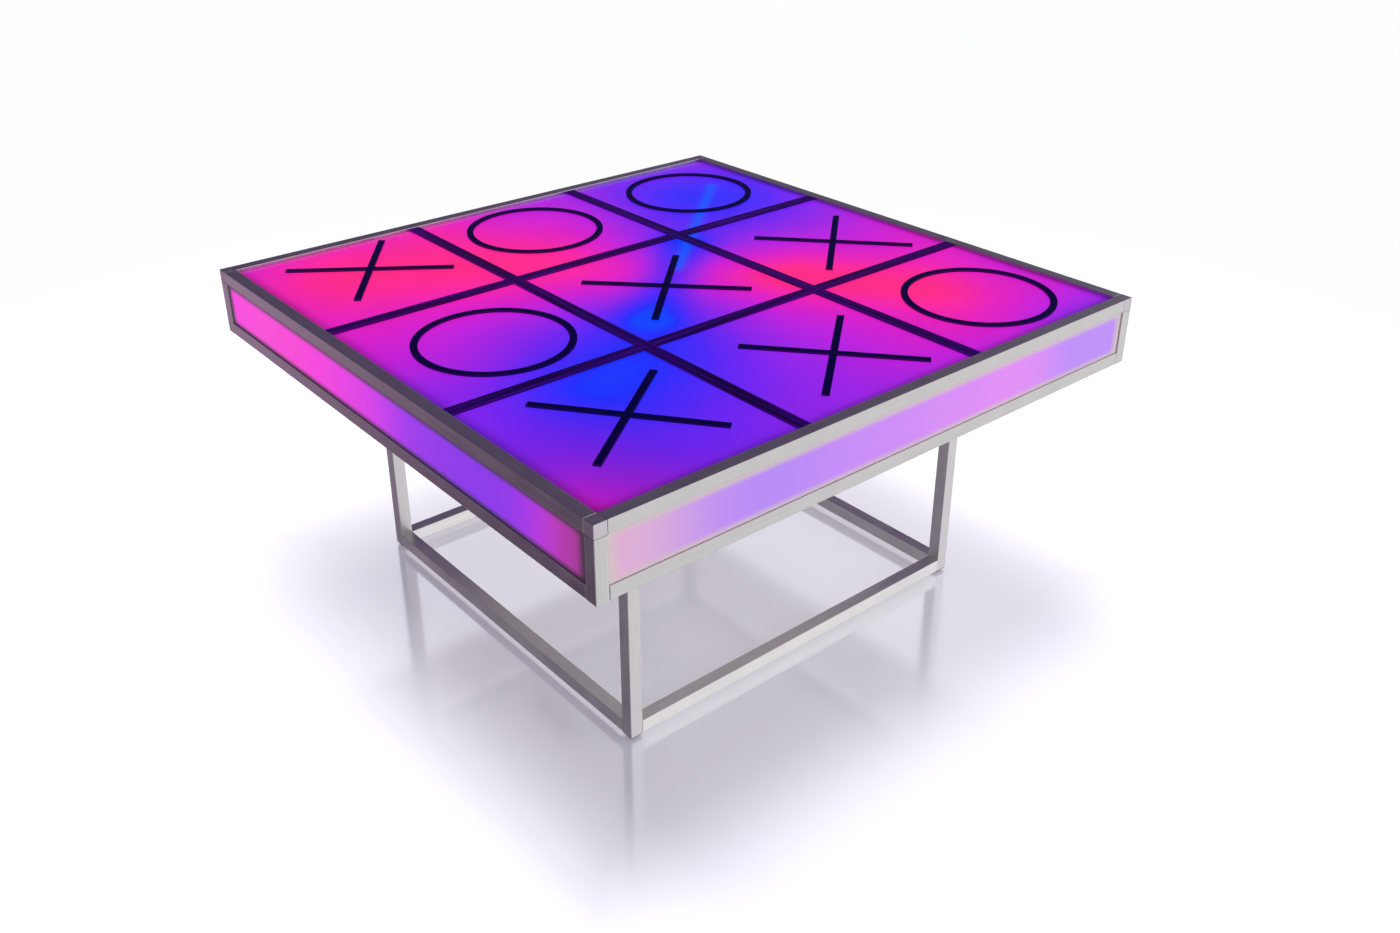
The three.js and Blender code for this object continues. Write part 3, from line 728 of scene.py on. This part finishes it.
def turned(points, name):
    x, y, z = np.moveaxis(points, -1, 0)
    for _ in range(turns[name]):
        x, y = -y, x
    return np.stack([x, y, z], -1)


# the axis that a rail of the side runs along
def railAxis(side):
    return "XY"[turns[side] % 2]


# square aluminium tube of the light box and square steel tube of the base, in mm
boxTube = {
    "side": 17.5,
    "wall": 1.6,
    "edge": 1.0,
    "boreEdge": 0.4,
    "edgeSteps": 5,
    "ease": 0.25,
    "finFrom": 5.1,  # from the outer face to the fin behind the side panel
    "finReach": 8.0,
    "finThickness": 1.6,
    "ledgeReach": 12.0,
    "topLedge": 5.3,  # from the bottom of the tube to the ledge under the top panel
}
baseTube = {
    "side": 19.0,
    "wall": 1.5,
    "edge": 1.0,
    "boreEdge": 0.4,
    "edgeSteps": 5,
    "ease": 0.25,
    "weldEase": 0.05,  # at the ends of the rails
}


# outer loop of a tube, and its bore
def tubeLoops(tube):
    side, wall, steps = tube["side"], tube["wall"], tube["edgeSteps"]
    bore = roundedBox(side - 2 * wall, side - 2 * wall, tube["boreEdge"], steps)
    return roundedBox(side, side, tube["edge"], steps), wall + bore


# hollow section carried straight: out along the outer loop, across the end and back along the bore.
# A point's end lies back by its own mitre, so that ledges meet at 45 degrees
def carryHollow(outer, bore, low, high, ease, mitre=0.0):
    eased = inset(outer, ease)
    loops = np.stack([outer, eased, bore, bore, eased, outer])
    along = np.array([low + ease, low, low, high, high, high - ease])[:, None] * np.ones(len(outer))
    back = np.array([1, 1, 1, -1, -1, -1])[:, None] * mitre
    return np.concatenate([(along + back)[..., None], loops], axis=-1)


# section of a box rail, across from the outer face and up from the bottom of the tube: the rounded
# square with a fin let into its lower or upper side and a ledge let into its inner side. The bore
# has as many points in a line behind each
def railSection(finDown):
    side, wall, steps, finFrom = (boxTube[key] for key in ("side", "wall", "edgeSteps", "finFrom"))
    square, bore = tubeLoops(boxTube)
    thickness, inner = boxTube["finThickness"], side - wall
    finEnd, reach = finFrom + thickness, side + boxTube["ledgeReach"]
    if finDown:
        tip, foot = -boxTube["finReach"], boxTube["topLedge"]
        fin = [(finFrom, 0), (finFrom, tip), (finEnd, tip), (finEnd, 0)]
        ledge = [(side, foot), (reach, foot), (reach, foot + thickness), (side, foot + thickness)]
        finBore = np.linspace((finFrom, wall), (finEnd, wall), len(fin))
        ledgeBore = np.linspace((inner, foot), (inner, foot + thickness), len(ledge))
        outer = [square[:steps], fin, square[steps:2 * steps], ledge, square[2 * steps:]]
        hollow = [bore[:steps], finBore, bore[steps:2 * steps], ledgeBore, bore[2 * steps:]]
    else:
        tip = side + boxTube["finReach"]
        fin = [(finEnd, side), (finEnd, tip), (finFrom, tip), (finFrom, side)]
        ledge = [(inner, 0), (reach, 0), (reach, thickness), (side, thickness)]
        finBore = np.linspace((finEnd, inner), (finFrom, inner), len(fin))
        ledgeBore = np.linspace((inner, wall), (inner, 2 * wall), len(ledge))
        outer = [square[:steps], ledge, square[2 * steps:3 * steps], fin, square[3 * steps:]]
        hollow = [bore[:steps], ledgeBore, bore[2 * steps:3 * steps], finBore, bore[3 * steps:]]
    return np.concatenate(outer), np.concatenate(hollow)


def boxRails():
    front = boxOf("top_rail_front")[0][1]
    for rail, finDown in (("top_rail_", True), ("lower_rail_", False)):
        low, high = boxOf(rail + "front")
        bottom = high[2] - boxTube["side"] if finDown else low[2]
        outer, bore = railSection(finDown)
        mitre = np.maximum(outer[:, 0] - boxTube["side"], 0)
        points = carryHollow(outer, bore, low[0], high[0], boxTube["ease"], mitre) + (0, front, bottom)
        for side in sides:
            makePiece(rail + side + "_fine", turned(points, side), "boxFrame" + railAxis(side),
                      "box_frame", replaced=[rail + side], rowsClose=True)


# upright tube on the front left corner, carried up, then turned to each corner
def uprights(node, tube, material, slot):
    low, high = boxOf(node + "front_left")
    points = carryHollow(*tubeLoops(tube), low[2], high[2], tube["ease"])
    points = points[..., [1, 2, 0]] + (low[0], low[1], 0)
    for corner in corners:
        makePiece(node + corner + "_fine", turned(points, corner), material, slot,
                  replaced=[node + corner], rowsClose=True)


# base rails reach the legs, as welded and ground flush
def baseRails():
    reach = boxOf("leg_front_right")[0][0]
    for rail in ("base_lower_rail_", "base_upper_rail_"):
        low = boxOf(rail + "front")[0]
        points = carryHollow(*tubeLoops(baseTube), -reach, reach, baseTube["weldEase"])
        points = points + (0, low[1], low[2])
        for side in sides:
            makePiece(rail + side + "_fine", turned(points, side), "baseFrame" + railAxis(side),
                      "base_frame", replaced=[rail + side], rowsClose=True)


boxRails()
uprights("corner_post_", boxTube, "boxFrameZ", "box_frame")
uprights("leg_", baseTube, "legZ", "base_frame")
baseRails()
print("frame tubes drawn")

# flat sheet pieces with eased edges, in mm
sheetEdges = {"piece": 0.35, "bar": 0.35, "panel": 0.4, "steps": 4}
gamePieces = {
    "stroke": 10.0,
    "arm": 241.36,  # length of a cross's arm
    "noughtRadius": 106.33,
    "noughtSteps": 160,
    "turns": {  # degrees from square
        "cross_front_left": -8,
        "cross_front_middle": -5,
        "cross_centre": -1,
        "cross_middle_right": -3,
        "cross_back_left": 9,
    },
}


# rings of an outline between two heights, inset by ease x (1 - cos) and raised by ease x sin at
# both edges
def easedSlab(outline, bottom, top, ease):
    quarter = np.linspace(0, math.pi / 2, sheetEdges["steps"])
    insets = ease * (1 - np.cos(np.concatenate([quarter[::-1], quarter])))
    heights = np.concatenate([bottom + ease * (1 - np.sin(quarter[::-1])),
                              top - ease * (1 - np.sin(quarter))])
    return np.stack([np.column_stack([inset(outline, distance), np.full(len(outline), height)])
                     for distance, height in zip(insets, heights)])


# the end of one arm turned by quarters into a plus, turned again by 45 degrees and its own angle
def crosses():
    half, stroke = gamePieces["arm"] / 2, gamePieces["stroke"] / 2
    arm = np.array([(half, -stroke), (half, stroke), (stroke, stroke)])
    quarters = ((1, 0), (0, 1), (-1, 0), (0, -1))
    plus = np.concatenate([arm @ np.array([[c, s], [-s, c]]) for c, s in quarters])
    for name, turn in gamePieces["turns"].items():
        low, high = boxOf(name)
        c, s = math.cos(math.radians(45 + turn)), math.sin(math.radians(45 + turn))
        outline = plus @ np.array([[c, s], [-s, c]]) + (low + high)[:2] / 2
        points = easedSlab(outline, low[2], high[2], sheetEdges["piece"])
        makePiece(name + "_fine", points, "pieceAcrylic", "game_pieces", [name], "loose_" + name)


# ring: a flat rounded section at (radius, height), carried round the middle of the nought
def noughts():
    angles = np.linspace(0, 2 * math.pi, gamePieces["noughtSteps"], endpoint=False)[:, None]
    stroke = gamePieces["stroke"]
    for name in (node for node in nodes if node.startswith("nought_")):
        low, high = boxOf(name)
        middle = (low + high) / 2
        section = roundedBox(stroke, high[2] - low[2], sheetEdges["piece"], sheetEdges["steps"])
        radius = gamePieces["noughtRadius"] - stroke + section[:, 0]
        points = np.stack([middle[0] + radius * np.cos(angles), middle[1] + radius * np.sin(angles),
                           low[2] + section[:, 1] + 0 * angles], -1)
        makePiece(name + "_fine", points, "pieceAcrylic", "game_pieces", [name], "loose_" + name,
                  rowsClose=True)


gridBar = {
    "gap": 0.1,  # between the two bars at a crossing
    "step": 0.02,  # length of the slope into a notch
}


# a bar's rounded section carried along it; at each crossing its top or its bottom steps to half height
def gridBars():
    ease, gap, step = sheetEdges["bar"], gridBar["gap"], gridBar["step"]
    crossings = sorted(sum(boxOf(name))[0] / 2 for name in ("grid_bar_left", "grid_bar_right"))
    for name in (node for node in nodes if node.startswith("grid_bar")):
        low, high = boxOf(name)
        size = high - low
        alongX = bool(size[0] > size[1])
        half, width = (high[0], size[1]) if alongX else (high[1], size[0])
        notch = width / 2 + gap
        stations = [(-half, ease, 0), (-half + ease, 0, 0)]
        for crossing in crossings:
            stations += [(crossing - notch - step, 0, 0), (crossing - notch, 0, 1),
                         (crossing + notch, 0, 1), (crossing + notch + step, 0, 0)]
        stations += [(half - ease, 0, 0), (half, ease, 0)]
        section = roundedBox(width, size[2], ease, sheetEdges["steps"])
        isTop = section[:, 1] > size[2] / 2
        isCut = isTop == alongX
        change = (size[2] + gap) / 2 * (-1 if alongX else 1)
        rows = []
        for along, shrink, cut in stations:
            across, up = inset(section, shrink).T
            up = np.where(isCut & bool(cut), up + change, up)
            rows.append(np.stack([np.full(len(section), along), across, up + low[2]], -1))
        points = np.stack(rows)
        if alongX:
            points[..., 1] += low[1]
        else:
            points = np.stack([points[..., 1] + low[0], points[..., 0], points[..., 2]], -1)
        makePiece(name + "_fine", points, "barAcrylic" + "YX"[alongX], "grid_bars", [name])


# outline of a box's face across two of its axes
def faceOf(low, high, first, second):
    return np.array([(low[first], low[second]), (high[first], low[second]),
                     (high[first], high[second]), (low[first], high[second])])


# panels: slabs with eased edges, the side ones standing up
def panels():
    low, high = boxOf("top_panel")
    lying = easedSlab(faceOf(low, high, 0, 1), low[2], high[2], sheetEdges["panel"])
    makePiece("top_panel_fine", lying, "opalTop", "top_panel", ["top_panel"])
    low, high = boxOf("side_panel_front")
    standing = easedSlab(faceOf(low, high, 0, 2), low[1], high[1], sheetEdges["panel"])[..., [0, 2, 1]]
    for side in sides:
        name = "side_panel_" + side
        makePiece(name + "_fine", turned(standing, side), "opalSide", "side_panels", [name])


crosses()
noughts()
gridBars()
panels()
print("game board and panels drawn")

# turned pieces are drawn facing up, and then face down or backward
turnedSteps = 36
down = np.array([(1, 0, 0), (0, -1, 0), (0, 0, -1)])
backward = np.array([(1, 0, 0), (0, 0, 1), (0, 1, 0)])


# point = radius x (cos, sin) at its height, for rings (radius, height, six-sided or not); a six-sided
# ring's radius is divided by the cosine of the angle from its nearest flat
def ringSolid(rings, facing):
    angles = np.linspace(0, 2 * math.pi, turnedSteps, endpoint=False)
    hexagon = 1 / np.cos(angles % (math.pi / 3) - math.pi / 6)
    radius = rings[:, :1] * np.where(rings[:, 2:] > 0, hexagon, 1.0)
    height = rings[:, 1:2] + 0 * angles
    return np.stack([radius * np.cos(angles), radius * np.sin(angles), height], -1) @ facing


# bolts of the base and screws of the floor board and the housing, in mm: radius and height of the
# head, radius and depth of its socket, radius and thickness of the washer
fastening = {
    "bolt": {"head": 5.2, "height": 3.3, "drive": 2.0, "depth": 2.2, "washer": 6.4, "foot": 1.2},
    "screw": {"head": 3.2, "height": 1.9, "drive": 1.25, "depth": 1.2, "washer": 3.4, "foot": 0.3},
    "domeShare": 0.5,  # of the head's height that is rounded
    "domeSteps": 6,
    "ease": 0.15,
    "boltAlong": 180.0,  # from the middle of an upper base rail to each of its two bolts
    "screwAlong": 300.0,  # from the middle of a ledge to the outer screws of the floor board
    "flange": 10.0,  # rim of the control housing that is screwed to the board
    "flangeThickness": 2.0,
}


# rings of a pan head on its washer, with a socket for a hexagon key: the dome is inset by
# bend x (1 - cos) and raised by bend x sin
def panHead(size):
    ease = fastening["ease"]
    foot, radius, drive, reach = (size[key] for key in ("foot", "head", "drive", "washer"))
    top = foot + size["height"]
    bend = fastening["domeShare"] * size["height"]
    quarter = np.linspace(0, math.pi / 2, fastening["domeSteps"])
    dome = np.column_stack([radius - bend * (1 - np.cos(quarter)), top - bend * (1 - np.sin(quarter)),
                            0 * quarter])
    washer = [(reach, 0, 0), (reach, foot - ease, 0), (reach - ease, foot, 0), (radius, foot, 0)]
    recess = [(drive + ease, top, 1), (drive, top - ease, 1), (drive, top - size["depth"], 1)]
    return np.concatenate([washer, dome, recess])


def fasteners():
    bolt = ringSolid(panHead(fastening["bolt"]), down)
    screw = ringSolid(panHead(fastening["screw"]), down)
    railLow, railHigh = boxOf("base_upper_rail_front")
    railMiddle = (railLow[1] + railHigh[1]) / 2
    ledgeLow, ledgeHigh = boxOf("lower_rail_front")
    ledgeMiddle = (boxOf("floor_board")[0][1] + ledgeHigh[1]) / 2
    boltAlong, screwAlong = fastening["boltAlong"], fastening["screwAlong"]
    for side in sides:
        for count, along in enumerate((-boltAlong, boltAlong), 1):
            points = turned(bolt + (along, railMiddle, railLow[2]), side)
            makePiece(f"base_bolt_{side}_{count}", points, "boltZ", "base_frame")
        for count, along in enumerate((-screwAlong, 0, screwAlong), 1):
            points = turned(screw + (along, ledgeMiddle, ledgeLow[2]), side)
            makePiece(f"board_screw_{side}_{count}", points, "boltZ", "base_frame")
    low, high = boxOf("control_housing")
    rim = fastening["flange"] / 2
    places = [(x, y) for x in (low[0] + rim, high[0] - rim) for y in (low[1] + rim, high[1] - rim)]
    for count, place in enumerate(places, 1):
        points = screw + (*place, high[2] - fastening["flangeThickness"])
        makePiece(f"housing_screw_{count}", points, "boltZ", "base_frame")


# plugs in the lower ends of the corner posts, in mm
postPlug = {"gap": 0.1, "depth": 0.3, "height": 5.0, "edge": 0.5, "edgeSteps": 4, "ease": 0.3}


def postPlugs():
    low = boxOf("corner_post_front_left")[0]
    wall = boxTube["wall"] + postPlug["gap"]
    side = boxTube["side"] - 2 * wall
    outline = roundedBox(side, side, postPlug["edge"], postPlug["edgeSteps"]) + low[:2] + wall
    bottom = low[2] + postPlug["depth"]
    plug = easedSlab(outline, bottom, bottom + postPlug["height"], postPlug["ease"])
    for corner in corners:
        makePiece("post_plug_" + corner, turned(plug, corner), "glidePlastic", "foot_glides")


# charging socket with the pin in its bore, in mm
socket = {
    "bore": 4.0,  # radius
    "depth": 10.0,
    "wall": 1.6,
    "rim": 2.0,  # both its reach and its thickness
    "ease": 0.15,
    "pin": 1.0,  # radius
    "pinLength": 9.2,
    "pinRoot": 0.3,  # let into the bottom of the bore
    "tipSteps": 6,
    "tipFlat": 0.96,  # share of a quarter turn; the tip is flat after it
}


# rings (radius, height from the face); the tip of the pin is radius x cos and radius x sin
def chargingSocket():
    low, high = boxOf("charging_socket")
    face = np.array([(low[0] + high[0]) / 2, high[1], (low[2] + high[2]) / 2])
    bore, depth, wall, rim, ease = (socket[key] for key in ("bore", "depth", "wall", "rim", "ease"))
    barrel = bore + wall
    rings = [(barrel, -depth - wall, 0), (barrel, -rim, 0), (barrel + rim, -rim, 0),
             (barrel + rim, -ease, 0), (barrel + rim - ease, 0, 0), (bore + ease, 0, 0),
             (bore, -ease, 0), (bore, -depth, 0)]
    makePiece("charging_socket_fine", ringSolid(np.array(rings), backward) + face, "switchPlastic",
              "switch_and_socket", ["charging_socket"])
    radius = socket["pin"]
    quarter = np.linspace(0, math.pi / 2 * socket["tipFlat"], socket["tipSteps"])
    heights = socket["pinLength"] - radius * (1 - np.sin(quarter))
    tip = np.column_stack([radius * np.cos(quarter), heights, 0 * quarter])
    pin = ringSolid(np.concatenate([[(radius, -socket["pinRoot"], 0)], tip]), backward)
    makePiece("socket_pin", pin + face - (0, depth, 0), "boltY", "base_frame")


# rocker of the switch as it is at rest, and the marks on its two faces, in mm: I on the end that is
# pressed at rest, O on the other
rocker = {
    "pivotIn": 2.0,  # from the face of the switch to the pivot
    "ridge": 3.0,  # from the pivot to the middle of the rocker's face, and to its ends
    "end": 5.0,
    "half": 8.0,
    "tilt": 8.0,  # degrees
    "markHeight": 4.2,
    "markStroke": 0.8,
    "markProud": 0.08,
    "markEnds": 0.3,  # radius of the ends of the I
    "endSteps": 4,
    "markEase": 0.05,
    "easeSteps": 3,
    "markSteps": 48,
}


# (along, up, out) on a face that climbs from the ridge to the end by the angle rise, moved to the
# middle of that face, and all turned about the pivot by the tilt
def onRocker(points, sign):
    rise = math.atan2(rocker["end"] - rocker["ridge"], rocker["half"])
    along, up, out = np.moveaxis(points, -1, 0)
    x = sign * (rocker["half"] / 2 + along * math.cos(rise) - out * math.sin(rise))
    y = (rocker["ridge"] + rocker["end"]) / 2 + along * math.sin(rise) + out * math.cos(rise)
    tilt = math.radians(rocker["tilt"])
    low, high = boxOf("switch_body")
    return np.stack([(low[0] + high[0]) / 2 + x * math.cos(tilt) + y * math.sin(tilt),
                     high[1] - rocker["pivotIn"] - x * math.sin(tilt) + y * math.cos(tilt),
                     (low[2] + high[2]) / 2 + up], -1)


# I is an eased slab; O is a flat section at (radius, height), carried round its middle
def rockerMarks():
    tall, stroke, proud, ease = (rocker["mark" + key] for key in ("Height", "Stroke", "Proud", "Ease"))
    bar = roundedBox(stroke, tall, rocker["markEnds"], rocker["endSteps"]) - (stroke / 2, tall / 2)
    line = easedSlab(bar, -proud, proud, ease)
    makePiece("rocker_mark_on", onRocker(line, 1), "markPaint", body="rocker")
    angles = np.linspace(0, 2 * math.pi, rocker["markSteps"], endpoint=False)[:, None]
    section = roundedBox(stroke, 2 * proud, ease, rocker["easeSteps"]) - (stroke, proud)
    radius = tall / 2 + section[:, 0]
    ring = np.stack([radius * np.cos(angles), radius * np.sin(angles), section[:, 1] + 0 * angles], -1)
    makePiece("rocker_mark_off", onRocker(ring, -1), "markPaint", body="rocker", rowsClose=True)


fasteners()
postPlugs()
chargingSocket()
rockerMarks()
print("fasteners and trim drawn")


def coat(node, material):
    mesh = nodes[node].data
    mesh.materials.clear()
    mesh.materials.append(materials[material])


# nodes that a fine piece stands for are hidden, and get a metal too
for node in nodes:
    if node.startswith("corner_connector"):
        coat(node, "cornerZ")
    if nodes[node].hide_render:
        coat(node, "boxFrameX")
for name, look in plainLooks.items():
    for node in look["nodes"]:
        coat(node, name)
print("finishes on the packed nodes that still show")
